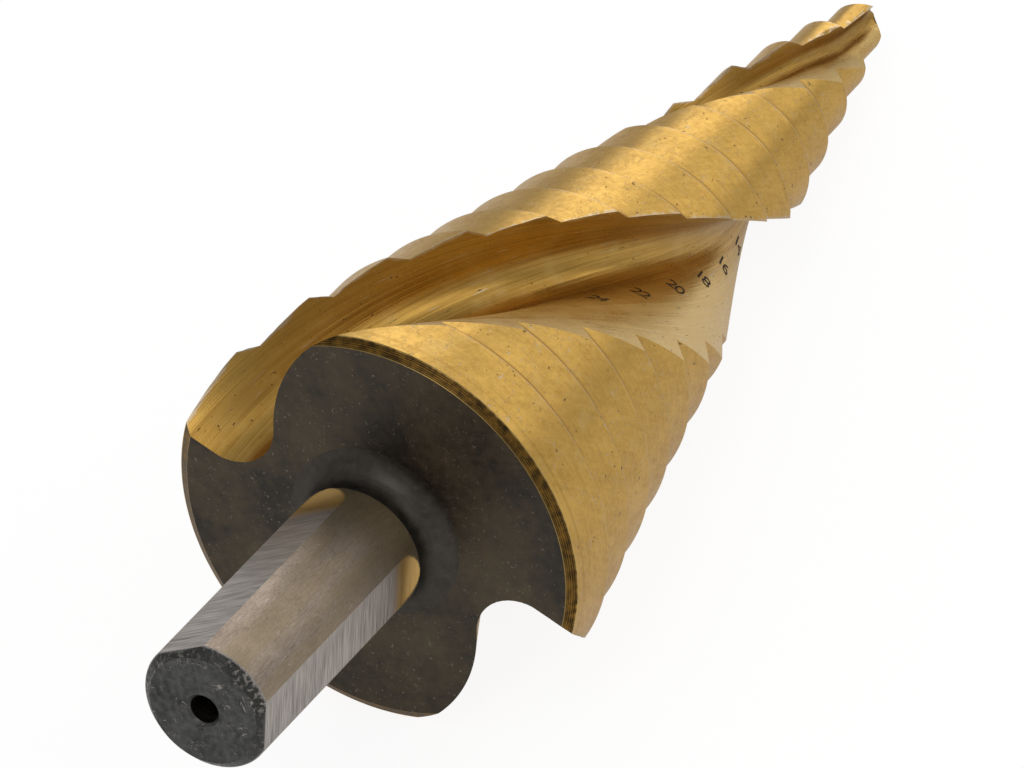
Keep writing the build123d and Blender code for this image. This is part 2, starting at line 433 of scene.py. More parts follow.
def section(along, radius, column, chip):
    """The point of the section at a place along the tool, before the spiral's turn."""
    size = cutter_size(along)
    face_length, (corner_x, corner_y, corner), heel = flute_curves(along)
    heel_x, heel_y = heel
    rim = (radius - LAND_RELIEF * radius / LAST_RADIUS) / size
    heel_end, high, last_x, last_y = heel_ending(heel, rim)
    on_face, on_corner, on_heel, on_land = zone_shares(column)
    # the cutting face runs from the edge to the corner
    edge = (radius - chip) / size
    outward = (edge * edge - (1 - RAKE_COS * RAKE_COS)).sqrt() - RAKE_COS
    x = (1 + outward * RAKE_COS).towards(1 - RAKE_COS * face_length, on_face)
    y = (outward * RAKE_SIN).towards(-RAKE_SIN * face_length, on_face)
    # the corner's circle and the heel's circle turn opposite ways
    corner_start = math.radians(RAKE_DEGREES - 90)
    corner_end = (heel_y - corner_y).angle_to(heel_x - corner_x) - 2 * math.pi
    corner_at = corner_end.towards(corner_start, 1 - on_corner)
    heel_start = (corner_y - heel_y).angle_to(corner_x - heel_x)
    # where the land is high, the heel's last column is left for the straight end of the wall
    heel_share = (on_heel * (HEEL_COLUMNS / (HEEL_COLUMNS - 1.0))).min(1.0)
    heel_at = heel_start.towards(heel_end, on_heel.towards(heel_share, high))
    is_corner = column > FACE_COLUMNS + 0.5
    is_heel = column > FACE_COLUMNS + CORNER_COLUMNS + 0.5
    is_last = column > FLUTE_COLUMNS - 0.5
    x = x.towards(corner_x + corner_at.cos() * corner, is_corner)
    y = y.towards(corner_y + corner_at.sin() * corner, is_corner)
    x = x.towards(heel_x + heel_at.cos() * HEEL_SHARE, is_heel).towards(last_x, is_last) * size
    y = y.towards(heel_y + heel_at.sin() * HEEL_SHARE, is_heel).towards(last_y, is_last) * size
    # the land runs from this flute's heel back to the other flute's edge
    land_start = last_y.angle_to(last_x)
    land_end = (outward * RAKE_SIN).angle_to(1 + outward * RAKE_COS) + math.pi
    land_at = land_start.towards(land_end, on_land)
    land_radius = radius - LAND_RELIEF * radius / LAST_RADIUS * (1 - on_land)
    land_radius = land_radius - chip * ((on_land - (1 - CHIP_ZONE)) / CHIP_ZONE).clamp()
    is_land = column > FLUTE_COLUMNS + 0.5
    x = x.towards(land_radius * land_at.cos(), is_land)
    y = y.towards(land_radius * land_at.sin(), is_land)
    return x, y


print("the land falls by", LAND_RELIEF, "mm behind the widest edge")

# %% [markdown]
# ### Rows along the tool
# The row tells how far along a point is and how wide the tool is there. A land keeps its radius, and a
# shoulder carries it to the next one. A list of radii would do for a few steps. Here one sum serves all of
# them, because every step is as long as the next.

# %% Place and radius of a row
def row_place(row):
    """The place along the tool, the radius, the step's number and the share of its land at a row."""
    on_chamfer = ((row - BACK_ROWS) / CHAMFER_ROWS).clamp()
    on_last_land = ((row - (BACK_ROWS + CHAMFER_ROWS)) / LAND_ROWS).clamp()
    step_row = (row - (BACK_ROWS + CHAMFER_ROWS + LAND_ROWS)).max(0.0).min(float(STEP_ROWS))
    step = ((step_row + 0.5) / (SHOULDER_ROWS + LAND_ROWS)).floor().min(STEP_COUNT - 2.0)
    in_step = step_row - step * (SHOULDER_ROWS + LAND_ROWS)
    on_shoulder = (in_step / SHOULDER_ROWS).clamp()
    on_land = ((in_step - SHOULDER_ROWS) / LAND_ROWS).clamp()
    base = BACK_FACE + on_chamfer * (BODY_START - BACK_FACE) + on_last_land * (LAST_RIM - BODY_START)
    base = base + step * STEP_PITCH + on_shoulder * SHOULDER_LENGTH
    radius = (LAST_RADIUS - BACK_CHAMFER_DEPTH) + on_chamfer * BACK_CHAMFER_DEPTH
    radius = radius - (step + on_shoulder) * RADIUS_STEP
    return base, radius, step, on_land


print("each step has", SHOULDER_ROWS + LAND_ROWS, "rows")

# %% [markdown]
# ### The ground point
# The point of a drill is two sloping flanks. Each falls away behind its cutting lip, and they meet in a
# short chisel edge. Two tilted planes could cut the grid off, but that would break its rows. So the height
# of the flanks above every place of the section is a rule, and the land of the first step ends where it
# meets them.

# %% The point's flanks
POINT_HALF_ANGLE = 59.0
FLANK_RELIEF = 30.0
LIP_LEAD = 10.0
BEFORE_CORNER = 0.4


def point_surface(x, y, lip):
    """The place along the axis of the ground point above a place in the section."""
    out = (x * x + y * y).sqrt()
    behind = lip - y.angle_to(x)
    slope = 1 / math.tan(math.radians(POINT_HALF_ANGLE))
    drop = behind.sin().abs() * math.tan(math.radians(FLANK_RELIEF)) + slope
    apex = POINT_CORNER + FIRST_RADIUS * slope
    return apex - drop * out


def first_land_length(g, half, column, lip, sizes):
    """The length of the first step's land at a column, up to the flank."""
    near_corner = g.number(POINT_CORNER - BEFORE_CORNER)
    x, y = section(near_corner, g.number(FIRST_RADIUS), column, 0.0)
    x, y = turned(x, y, edge_angle(near_corner, sizes) + half * math.pi)
    return point_surface(x, y, lip) - (FIRST_RIM + SHOULDER_LENGTH)


print("the point's angle is", 2 * POINT_HALF_ANGLE, "degrees")

# %% [markdown]
# ### Chips on the edges
# A used edge isn't a clean line: it is slightly wavy, and here and there a small piece has broken out. Each
# point could be moved at random, but then the face and the land would part. A noise that depends on the
# place along one edge moves both by the same depth, and so the edge stays closed. The two edges read the
# noise at different places.

# %% Broken edges
CHIPPED_NOISE = (0.56, 0.74)
EDGE_SPACING = 37.0
WAVES_PER_MM = 2.5
WAVE_DEPTH = 0.25


def edge_chips(g, along, radius, half, column, sizes):
    """How deep the nearest cutting edge is broken, in millimetres."""
    edge_number = half + (column > FLUTE_COLUMNS + 0.5)
    edge_number = edge_number - ((edge_number + 0.5) / 2).floor() * 2
    place = g.vector(along, edge_number * EDGE_SPACING, 0.0)
    noise = g.node("ShaderNodeTexNoise", {"Vector": place, "Scale": 1 / sizes["Chip Size"], "Detail": 3.0})
    wave = g.node("ShaderNodeTexNoise", {"Vector": place, "Scale": WAVES_PER_MM, "Detail": 2.0})
    chip = noise.ramp(*CHIPPED_NOISE) * sizes["Chip Depth"]
    return chip + (wave - 0.5).max(0.0) * WAVE_DEPTH * (radius / LAST_RADIUS)


print("both edges wave about", WAVES_PER_MM, "times in each millimetre")

# %% [markdown]
# ### The closed ends
# The back face and the point close the body. A fan from the rim to one point would make long slivers, and
# the shading would show them. So the rows shrink from the section to a small round core first, and only the
# core closes to the axis. The angles say where each zone's columns land on the core, so that no face folds
# over another.

# %% Core of the two ends
CORE_RADIUS = 6.4
CORE_START = -16
CORE_TURNS = (5, 34, 49, 92)
POINT_CORE_RADIUS = 0.5
POINT_CORE_START = -35
POINT_CORE_TURNS = (5, 53, 49, 73)


def core_angle(start, turns, shares):
    """A column's angle in degrees: the start, and each zone's turn as far as the column has come."""
    angle = start
    for turn, share in zip(turns, shares):
        angle = angle + turn * share
    return angle


def closed_ends(x, y, row, column):
    """The section's point, drawn in towards the core on the back face and on the point."""
    point_row = row - (ROWS - POINT_ROWS)
    is_point = point_row > 0.5
    shares = zone_shares(column)
    back_angle = core_angle(CORE_START, CORE_TURNS, shares)
    point_angle = core_angle(POINT_CORE_START, POINT_CORE_TURNS, shares)
    angle = back_angle.towards(point_angle, is_point) * math.radians(1)
    back_share = ((row - 1) / (BACK_ROWS - 1)).clamp()
    point_share = 1 - (point_row / (POINT_ROWS - 2)).clamp()
    outer_share = back_share.towards(point_share, is_point)
    back_core = row.min(1.0) * CORE_RADIUS
    point_core = ((POINT_ROWS - point_row) / 2).clamp() * POINT_CORE_RADIUS
    core = back_core.towards(point_core, is_point)
    x = (core * angle.cos()).towards(x, outer_share)
    y = (core * angle.sin()).towards(y, outer_share)
    return x, y, is_point


print("the core's zones turn by", sum(CORE_TURNS), "and", sum(POINT_CORE_TURNS), "degrees in each half")

# %% [markdown]
# ### What each point keeps
# The materials have to know more than a place in space: the grinding lines of a flute follow the spiral. They
# could be worked out again from the place, but that would repeat all the rules in every shader. So each point
# keeps its place on the straight tool, its place in the section before the turn, and its land's radius, as
# attributes that a shader can read.

# %% What each point keeps
def with_attributes(g, mesh, placed, in_section, along, radius):
    """The mesh with what the materials need to know stored on its points."""
    scale = LAST_RADIUS / cutter_size(along)
    profile = g.vector(in_section[0], in_section[1], along)
    shape = g.vector(in_section[0] * scale, in_section[1] * scale, along)
    stored = {
        "tool": ("FLOAT_VECTOR", placed),
        "profile": ("FLOAT_VECTOR", profile),
        "shape": ("FLOAT_VECTOR", shape),
        "radius": ("FLOAT", radius),
    }
    for name, (kind, value) in stored.items():
        inputs = {"Geometry": mesh, "Name": name, "Value": value}
        mesh = g.node("GeometryNodeStoreNamedAttribute", inputs, data_type=kind, domain="POINT")
    return mesh


print("each point keeps: tool, profile, shape, radius")

# %% [markdown]
# Each zone has a finish of its own: the flutes and the lands are coated, the back face is dark and the
# chamfer shows turning grooves. Faces could be picked by their direction, but a row and a column name a
# zone without a doubt.

# %% A material for each zone
def with_materials(g, mesh, index, materials):
    """The mesh with a material on each face, by the face's row and column."""
    face_row = ((index + 0.5) / COLUMNS).floor()
    face_column = index - face_row * COLUMNS
    face_column = face_column - ((face_column + 0.5) / HALF_COLUMNS).floor() * HALF_COLUMNS
    in_flute = face_column < FLUTE_COLUMNS - 0.5
    on_back = face_row < BACK_ROWS - 0.5
    on_edge = (face_row < BACK_ROWS + CHAMFER_ROWS - 0.5) * (1 - in_flute)
    mesh = g.node("GeometryNodeSetMaterial", {"Geometry": mesh, "Material": materials["land"]})
    for zone, selection in (("flute", in_flute), ("chamfer", on_edge), ("back", on_back)):
        inputs = {"Geometry": mesh, "Material": materials[zone], "Selection": selection}
        mesh = g.node("GeometryNodeSetMaterial", inputs)
    return mesh


print("zones of the body: land, flute, chamfer, back")

# %% [markdown]
# ### The body as geometry nodes
# All the rules come together in one node group that bends the grid. Its inputs have names, so that the turn
# of the flutes or the size of the chips can be changed without reading the rules. A mesh could be filled from
# Python lists too, but the nodes work on all points at once.
#
# The grid is open at its seam and at both ends, so points that fall together are merged. Its faces look
# inwards after the bend and are flipped. The mesh is smooth, apart from the creases, which are found by the
# angle between two faces.

# %% The body's group
BODY_INPUTS = {
    "Start Angle": 34.4,
    "Turn per mm": 2.95,
    "Extra Turn": 80.0,
    "Point Turn per mm": 2.6,
    "Chip Depth": 0.3,
    "Chip Size": 1.6,
}
MERGE_DISTANCE = 0.0005
CREASE = math.radians(16)


def body_group(materials):
    """The geometry node group that bends a grid into the fluted body."""
    tree = bpy.data.node_groups.new("fluted_body", "GeometryNodeTree")
    g = Graph(tree)
    for name, value in BODY_INPUTS.items():
        tree.interface.new_socket(name, in_out="INPUT", socket_type="NodeSocketFloat").default_value = value
    tree.interface.new_socket("Geometry", in_out="OUTPUT", socket_type="NodeSocketGeometry")
    given = tree.nodes.new("NodeGroupInput")
    sizes = {name: Field(g, given.outputs[name]) for name in BODY_INPUTS}

    # the row and the column of each point, and which half of the turn it is in
    index = g.node("GeometryNodeInputIndex")
    row = ((index + 0.5) / (COLUMNS + 1)).floor()
    column = index - row * (COLUMNS + 1)
    half = ((column + 0.5) / HALF_COLUMNS).floor()
    column = column - half * HALF_COLUMNS

    # the place along the tool
    base, radius, step, on_land = row_place(row)
    lip = edge_angle(g.number(POINT_CORNER), sizes) + math.radians(LIP_LEAD) + half * math.pi
    is_first = step > STEP_COUNT - 2.5
    first_length = first_land_length(g, half, column, lip, sizes)
    along = base + on_land * g.number(STEP_PITCH - SHOULDER_LENGTH).towards(first_length, is_first)

    # the section, its closed ends and its turn
    x, y = section(along, radius, column, edge_chips(g, along, radius, half, column, sizes))
    turn = edge_angle(along, sizes) + half * math.pi
    x, y, is_point = closed_ends(x, y, row, column)
    in_section = turned(x, y, half * math.pi)
    x, y = turned(x, y, turn)
    along = along.towards(point_surface(x, y, lip), is_point)

    grid = g.node("GeometryNodeMeshGrid", {"Vertices X": ROWS + 1, "Vertices Y": COLUMNS + 1})
    placed = g.vector(along, x, y)
    mesh = g.node("GeometryNodeSetPosition", {"Geometry": grid, "Position": placed})
    mesh = with_attributes(g, mesh, placed, in_section, along, radius)
    mesh = with_materials(g, mesh, index, materials)
    mesh = g.node("GeometryNodeMergeByDistance", {"Geometry": mesh, "Distance": MERGE_DISTANCE})
    mesh = g.node("GeometryNodeFlipFaces", {"Mesh": mesh})
    mesh = g.node("GeometryNodeSetShadeSmooth", {"Geometry": mesh})
    creased = g.node("GeometryNodeInputMeshEdgeAngle") > CREASE
    inputs = {"Geometry": mesh, "Selection": creased, "Shade Smooth": False}
    mesh = g.node("GeometryNodeSetShadeSmooth", inputs, domain="EDGE")
    mesh = g.node("GeometryNodeRealizeInstances", {"Geometry": mesh})
    result = tree.nodes.new("NodeGroupOutput")
    tree.links.new(mesh.socket, result.inputs[0])
    return tree


print("the body's inputs:", BODY_INPUTS)

# %% [markdown]
# ## Materials
# The tool is one piece of steel, but no two of its surfaces were finished the same way. An image texture
# could show that, but it would blur up close and stretch along the spiral. So each finish is a look: a rule
# from the tool's coordinates in millimetres to a colour, a roughness and a relief. Noise that is stretched
# along one axis gives the lines that a wheel or a cutter leaves, and even noise gives stains and grain.

# %% Finished metal
def finished_metal(name, look):
    """A metal whose colour, roughness and relief come from a look."""
    made = bpy.data.materials.new(name)
    made.use_nodes = True
    shader = made.node_tree.nodes["Principled BSDF"]
    shader.inputs["Metallic"].default_value = 1.0
    g = Graph(made.node_tree)
    color, roughness, relief = look(g)
    bump = g.node("ShaderNodeBump", {"Strength": 1.0, "Distance": METRES_PER_MM, "Height": relief})
    for socket, value in (("Base Color", color), ("Roughness", roughness), ("Normal", bump)):
        made.node_tree.links.new(value.socket, shader.inputs[socket])
    return made


def scratches(g, place, stretch, width):
    """Thin broken lines where a stretched noise crosses its middle."""
    crossing = (g.noise(place, stretch, 1.0) - 0.5).abs()
    broken = g.noise(place, (0.9, 0.9, 0.9), 1.0).ramp(0.5, 0.6)
    return (1 - crossing.ramp(0.0, width)) * broken


def specks(g, place, per_mm, low, high):
    """Small spots where a fine noise is high."""
    return g.noise(place, (per_mm, per_mm, per_mm), 2.0).ramp(low, high)


print("a look gives a colour, a roughness and a relief")

# %% [markdown]
# ### The gold coat
# The gold on tools like this is usually a hard coat of titanium nitride, a few thousandths of a millimetre
# thick. It takes on the relief of the steel below and rubs off where the tool cuts. A gold metal alone would
# look like jewellery, so brown and pale gold are mixed in, and bare steel shows by its distance from the
# nearest cutting edge.

# %% Gold coat
GOLD = (0.66, 0.405, 0.10, 1)
PALE_GOLD = (0.76, 0.53, 0.19, 1)
BROWN_GOLD = (0.36, 0.19, 0.035, 1)
BARE_STEEL = (0.55, 0.50, 0.43, 1)
HOLLOW_SHADE_BROWN = (0.20, 0.105, 0.025, 1)
STAIN = (0.07, 0.045, 0.025, 1)


def from_edge(g):
    """The distance from the nearest cutting edge in millimetres."""
    profile = g.attribute("profile", "Vector")
    outward = g.axis(profile, 0).abs() - g.attribute("radius")
    aside = g.axis(profile, 1)
    return (outward * outward + aside * aside).sqrt()


print("the coat's main colour is", GOLD[:3])

# %% [markdown]
# The wheel that ground the flute left fine lines along the spiral. They could be drawn in space, but then
# they would run straight through the twist. The noise is read in the section before the turn instead, and is
# stretched far along the tool. The cutting face and the deep corner near the edge get painted shade, because
# the hollow of the flute is darker there, and the heel wall gets painted light towards the open mouth. Dark
# dashes and small nicks lie over the flute.

# %% Flute look
FINE_LINES = (9.0, 9.0, 0.09)


def flute_look(g):
    """Gold ground along the spiral."""
    place = g.attribute("tool", "Vector")
    profile = g.attribute("shape", "Vector")
    fine = g.noise(profile, FINE_LINES, 3.0)
    middle = g.noise(profile, (2.2, 2.2, 0.05), 3.0)
    broad = g.noise(profile, (0.35, 0.35, 0.04), 2.0)
    cloud = g.noise(place, (0.5, 0.5, 0.5), 3.0)
    # painted light: the heel wall is painted paler towards the flute's open mouth
    on_heel = g.axis(profile, 1).abs().ramp(4.5, 9.0)
    brown = (broad - 0.5) * 1.2 + (middle - 0.5) * 1.5 + (fine - 0.5) * 2.0
    brown = (brown + 0.30 - on_heel * 0.4).clamp()
    color = g.mix(brown, GOLD, BROWN_GOLD)
    color = g.mix((cloud.ramp(0.5, 0.75) * 0.4).max(on_heel * 0.85), color, PALE_GOLD)
    # painted shade: the cutting face and the deep corner near the edge are painted browner and darker than
    # the floor and the heel wall
    on_face = 1 - g.axis(profile, 1).abs().ramp(1.2, 3.6)
    hollow_painted_shade = 1 - from_edge(g).ramp(0.5, 7.0)
    color = g.mix(on_face * 0.25, color, BROWN_GOLD)
    color = g.mix(hollow_painted_shade * 0.4, color, HOLLOW_SHADE_BROWN)
    # dark dashes, nicks and glints of bare steel
    dashes = g.noise(profile, (5.0, 5.0, 0.8), 2.0).ramp(0.70, 0.76)
    color = g.mix(dashes * 0.75, color, STAIN)
    nicks = specks(g, place, 2.6, 0.72, 0.76)
    color = g.mix(nicks * 0.8, color, STAIN)
    glints = g.noise(profile, (7.0, 7.0, 0.35), 1.0).ramp(0.71, 0.76)
    color = g.mix(glints * 0.7, color, BARE_STEEL)
    worn = 1 - (from_edge(g) + (cloud - 0.5) * 0.9).ramp(0.03, 0.25)
    color = g.mix(worn * 0.5, color, BARE_STEEL)
    roughness = (0.30 + (middle - 0.5) * 0.30 + (cloud - 0.5) * 0.2 + dashes * 0.2).clamp()
    relief = fine * 0.012 + middle * 0.016 - nicks * 0.02 - dashes * 0.01
    return color, roughness, relief


print("the lines are", round(1 / FINE_LINES[0], 2), "mm wide and", round(1 / FINE_LINES[2]), "mm long")

# %% [markdown]
# The lands were ground around the axis, so their lines are stretched that way, with a faint slant along the
# spiral. The rim of each step is a thin pale line, partly rubbed coat and partly a painted highlight of the
# rounded rim. A line could be a bevel, but it is thinner than one face of the grid, so it is painted by the
# distance along the axis from the nearest rim. The inside corner at the foot of each shoulder gets a thin
# painted shade.

# %% Land look
def land_look(g):
    """Gold ground around the axis, with a thin pale line of wear and painted highlight at the rim of each
    step and painted shade at the foot of each shoulder.
    """
    place = g.attribute("tool", "Vector")
    along = g.axis(place, 0)
    cloud = g.noise(place, (0.35, 0.35, 0.35), 4.0)
    mottle = g.noise(place, (2.4, 2.4, 2.4), 4.0)
    turned_lines = g.noise(place, (10.0, 0.35, 0.35), 3.0)
    slant = g.noise(g.attribute("shape", "Vector"), (1.6, 1.6, 0.14), 3.0)
    grain = g.noise(place, (6.0, 6.0, 6.0), 3.0)
    shade = (cloud - 0.5) * 0.7 + (mottle - 0.5) * 0.5 + (turned_lines - 0.5) * 0.7 + (grain - 0.5) * 0.7
    shade = (shade + (slant - 0.5) * 0.6 + 0.22).clamp()
    color = g.mix(shade, GOLD, BROWN_GOLD)
    color = g.mix(cloud.ramp(0.55, 0.75) * 0.35, color, PALE_GOLD)
    # the rim of each step is a thin pale line of rubbed coat and painted highlight, and the inside corner at
    # the foot of the shoulder before it gets a browner painted shade
    steps = (along - LAST_RIM) / STEP_PITCH
    past_rim = (steps - steps.floor()) * STEP_PITCH
    rim_gap = past_rim.min(STEP_PITCH - past_rim)
    rim_wear_and_highlight = (1 - (rim_gap + (mottle - 0.5) * 0.25).ramp(0.02, 0.16)) * mottle.ramp(0.35, 0.65) * 0.45
    foot_painted_shade = 1 - (past_rim - SHOULDER_LENGTH).abs().ramp(0.02, 0.22)
    color = g.mix(foot_painted_shade * 0.3, color, BROWN_GOLD)
    color = g.mix(rim_wear_and_highlight, color, BARE_STEEL)
    # wear at the cutting edge, scratches and pits
    worn = 1 - (from_edge(g) + (mottle - 0.5) * 1.4).ramp(0.03, 0.3)
    color = g.mix(worn * 0.45, color, BARE_STEEL)
    marks = scratches(g, place, (1.1, 2.3, 1.7), 0.012)
    pits = specks(g, place, 2.2, 0.70, 0.75)
    color = g.mix(marks * 0.5, color, BARE_STEEL)
    color = g.mix(pits * 0.7, color, STAIN)
    roughness = (0.34 + (mottle - 0.5) * 0.2 + (cloud - 0.5) * 0.2 - rim_wear_and_highlight * 0.1).clamp()
    relief = turned_lines * 0.004 + slant * 0.006 + mottle * 0.003 + grain * 0.004
    return color, roughness, relief - pits * 0.015 - marks * 0.01


print("a pale line every", STEP_PITCH, "mm")

# %% [markdown]
# ### Dark oxide
# The back face and the root were never ground after hardening, so they keep a dark skin of oxide with pale
# scratches and dust. A black paint would look dead, so the skin stays a metal with a very dark colour: it
# still mirrors the lights, and clouds of brown show through.

# %% Back face and root
OXIDE = (0.052, 0.047, 0.040, 1)
PALE_OXIDE = (0.15, 0.115, 0.075, 1)
BLUE_OXIDE = (0.13, 0.115, 0.095, 1)
SCRATCH = (0.42, 0.38, 0.32, 1)


def back_look(g):
    """Dark oxide with pale scratches and dust."""
    place = g.attribute("tool", "Vector")
    cloud = g.noise(place, (0.16, 0.16, 0.16), 4.0)
    mottle = g.noise(place, (1.3, 1.3, 1.3), 5.0)
    shade = ((cloud - 0.5) * 2.0 + (mottle - 0.5) * 0.8 + 0.35).clamp()
    color = g.mix(shade, OXIDE, PALE_OXIDE)
    marks = scratches(g, place, (1.0, 0.5, 2.4), 0.010).max(scratches(g, place, (1.0, 2.1, 0.6), 0.008))
    dust = specks(g, place, 4.0, 0.68, 0.72)
    patches = cloud.ramp(0.42, 0.62)
    color = g.mix((marks * (0.06 + patches * 0.2)).max(dust * 0.35), color, SCRATCH)
    roughness = (0.44 + (mottle - 0.5) * 0.25 + (cloud - 0.5) * 0.3).clamp()
    relief = mottle * 0.012 - marks * 0.006 + dust * 0.006
    return color, roughness, relief


def root_look(g):
    """Turned rings under the oxide of the neck and of the root radius."""
    place = g.attribute("tool", "Vector")
    mottle = g.noise(place, (1.5, 1.5, 1.5), 4.0)
    rings = g.noise(place, (7.0, 0.12, 0.12), 3.0)
    color = g.mix((mottle - 0.2).clamp(), OXIDE, BLUE_OXIDE)
    dust = specks(g, place, 2.6, 0.68, 0.73)
    color = g.mix(dust * 0.5, color, PALE_OXIDE)
    roughness = (0.44 + (mottle - 0.5) * 0.3 + (rings - 0.5) * 0.15).clamp()
    return color, roughness, rings * 0.01 + mottle * 0.012


print("the oxide's colour is", OXIDE[:3])

# %% [markdown]
# The chamfer at the back was turned with a pointed cutter, which left fine grooves around it. They could be
# cut into the mesh, but hundreds of thin rings would cost more faces than the whole body. A sine of the
# radius paints the light and dark lines that the grooves would show, as painted highlight and shade in the
# colour as well as in the relief, and a noise makes them uneven. The corner towards the land gets a painted
# highlight, and the corner towards the back face a fainter one.

# %% Chamfer look
CHAMFER_BROWN = (0.04, 0.026, 0.012, 1)
GROOVES_PER_MM = 8.0


def chamfer_look(g):
    """Turning grooves painted as light and dark lines, with a painted highlight where the chamfer meets the
    land and a fainter one at the back face.
    """
    place = g.attribute("tool", "Vector")
    radius = g.attribute("radius")
    grooves = g.noise(g.vector(radius, 0.0, 0.0), (14.0, 1.0, 1.0), 2.0)
    mottle = g.noise(place, (1.6, 1.6, 1.6), 4.0)
    # painted light and shade: the sine paints the grooves' light and dark lines into the colour, and the same
    # lines go into the relief
    groove_shading_and_relief = (radius * GROOVES_PER_MM * 2 * math.pi + grooves * 3.0).sin() * 0.5 + 0.5
    bright = groove_shading_and_relief * 0.45 + (grooves - 0.5) * 0.9 + (mottle - 0.5) * 1.6 + 0.05
    color = g.mix(bright.clamp(), CHAMFER_BROWN, BROWN_GOLD)
    # painted highlights along the chamfer's edge towards the land and, fainter, towards the back face
    land_edge_highlight = (radius + (mottle - 0.5) * 0.12).ramp(LAST_RADIUS - 0.10, LAST_RADIUS - 0.01)
    back_edge_highlight = 1 - (radius - (LAST_RADIUS - BACK_CHAMFER_DEPTH)).ramp(0.02, 0.10)
    color = g.mix(land_edge_highlight.max(back_edge_highlight * 0.4) * 0.8, color, PALE_GOLD)
    roughness = (0.34 + (mottle - 0.5) * 0.3).clamp()
    return color, roughness, groove_shading_and_relief * 0.012 + mottle * 0.012


print("the chamfer has about", round(GROOVES_PER_MM * BACK_CHAMFER_DEPTH), "grooves")

# %% [markdown]
# ### The shank's surfaces
# The shank is bare steel with fine lengthwise grain, and heat tinted it brown towards the neck. The milled
# flats have lines across them, one for each turn of the cutter, and their run-outs took some of the gold.
# One steel could serve for both, but the flats mirror the light another way just because of their lines, so
# each gets its own.

# %% Shank and flats
SHANK_GREY = (0.43, 0.35, 0.29, 1)
SHANK_DARK = (0.25, 0.20, 0.155, 1)
OLIVE = (0.36, 0.28, 0.15, 1)
FLAT_GREY = (0.58, 0.53, 0.49, 1)
FLAT_DARK = (0.20, 0.18, 0.165, 1)
GOLD_BEGINS = 18.8


def shank_look(g):
    """Steel with a lengthwise grain, brown towards the neck, with long painted reflection bands."""
    place = g.attribute("tool", "Vector")
    along = g.axis(place, 0)
    grain = g.noise(place, (1.1, 9.0, 9.0), 3.0)
    fine = g.noise(place, (6.0, 6.0, 6.0), 3.0)
    cloud = g.noise(place, (0.3, 0.5, 0.5), 3.0)
    shade = ((grain - 0.5) * 1.6 + (fine - 0.5) * 0.8 + (cloud - 0.5) * 1.0 + 0.35).clamp()
    color = g.mix(shade, SHANK_GREY, SHANK_DARK)
    # painted reflection: long olive bands along the axis paint the golden sheen that the round shank mirrors;
    # the olive towards the neck is a tint of the steel
    painted_sheen_bands = g.noise(place, (0.04, 0.45, 0.45), 2.0).ramp(0.42, 0.62)
    color = g.mix((painted_sheen_bands * 0.45).max(along.ramp(15.0, 21.5) * 0.7), color, OLIVE)
    marks = scratches(g, place, (0.8, 1.6, 1.6), 0.012)
    color = g.mix(marks * 0.4, color, FLAT_GREY)
    roughness = (0.46 + (fine - 0.5) * 0.3 + (cloud - 0.5) * 0.2).clamp()
    return color, roughness, grain * 0.008 + fine * 0.006


def flat_look(g):
    """Milled steel with lines across it and gold on the run-out."""
    place = g.attribute("tool", "Vector")
    along = g.axis(place, 0)
    lines = g.noise(place, (8.0, 0.4, 0.4), 3.0)
    broad = g.noise(place, (1.4, 0.2, 0.2), 2.0)
    color = g.mix(((lines - 0.5) * 2.0 + (broad - 0.5) * 1.0 + 0.3).clamp(), FLAT_GREY, FLAT_DARK)
    color = g.mix(along.ramp(GOLD_BEGINS, 20.4) * 0.85, color, GOLD)
    roughness = (0.42 + (lines - 0.5) * 0.4).clamp()
    return color, roughness, lines * 0.02 * (1 - along.ramp(GOLD_BEGINS, 20.0))


print("the flats' gold begins", GOLD_BEGINS, "mm from the end")

# %% [markdown]
# The end face has knocked about in a tool box: it is dark and scratched, and its rim is bruised into bright
# flakes. The flakes could be modelled, but they are a few hundredths of a millimetre deep, so a strong
# relief shows them. A second, broad noise decides where the rim was struck, because a real rim is bruised
# in places only.

# %% End face, rim and hole
END_GREY = (0.115, 0.114, 0.111, 1)
END_DARK = (0.055, 0.055, 0.053, 1)
SHANK_CHAMFER = 0.75


def end_look(g):
    """Dark steel with pale scratches in two directions."""
    place = g.attribute("tool", "Vector")
    mottle = g.noise(place, (2.0, 2.0, 2.0), 5.0)
    cloud = g.noise(place, (0.5, 0.5, 0.5), 3.0)
    color = g.mix(((mottle - 0.5) * 1.8 + (cloud - 0.5) * 1.5 + 0.4).clamp(), END_GREY, END_DARK)
    marks = scratches(g, place, (1.0, 0.7, 2.8), 0.012).max(scratches(g, place, (1.0, 2.4, 0.5), 0.010))
    color = g.mix(marks * 0.5, color, FLAT_GREY)
    roughness = (0.45 + (mottle - 0.5) * 0.4).clamp()
    return color, roughness, mottle * 0.03 - marks * 0.015


def rim_look(g):
    """The chamfer of the shank's end, bruised into flakes."""
    place = g.attribute("tool", "Vector")
    flakes = g.noise(place, (3.2, 3.2, 3.2), 6.0)
    fine = g.noise(place, (11.0, 11.0, 11.0), 3.0)
    struck = g.noise(place, (0.22, 0.22, 0.22), 1.0).ramp(0.44, 0.56)
    bright = flakes.ramp(0.50, 0.68) * (0.12 + struck * 0.45) + fine.ramp(0.55, 0.7) * 0.12
    color = g.mix(bright, END_DARK, FLAT_GREY)
    edge = (g.axis(place, 0) + (fine - 0.5) * 0.2).ramp(SHANK_CHAMFER - 0.14, SHANK_CHAMFER - 0.02)
    color = g.mix(edge * 0.6, color, FLAT_GREY)
    roughness = (0.42 + (fine - 0.5) * 0.5).clamp()
    return color, roughness, flakes * (0.06 + struck * 0.22) + fine * 0.03


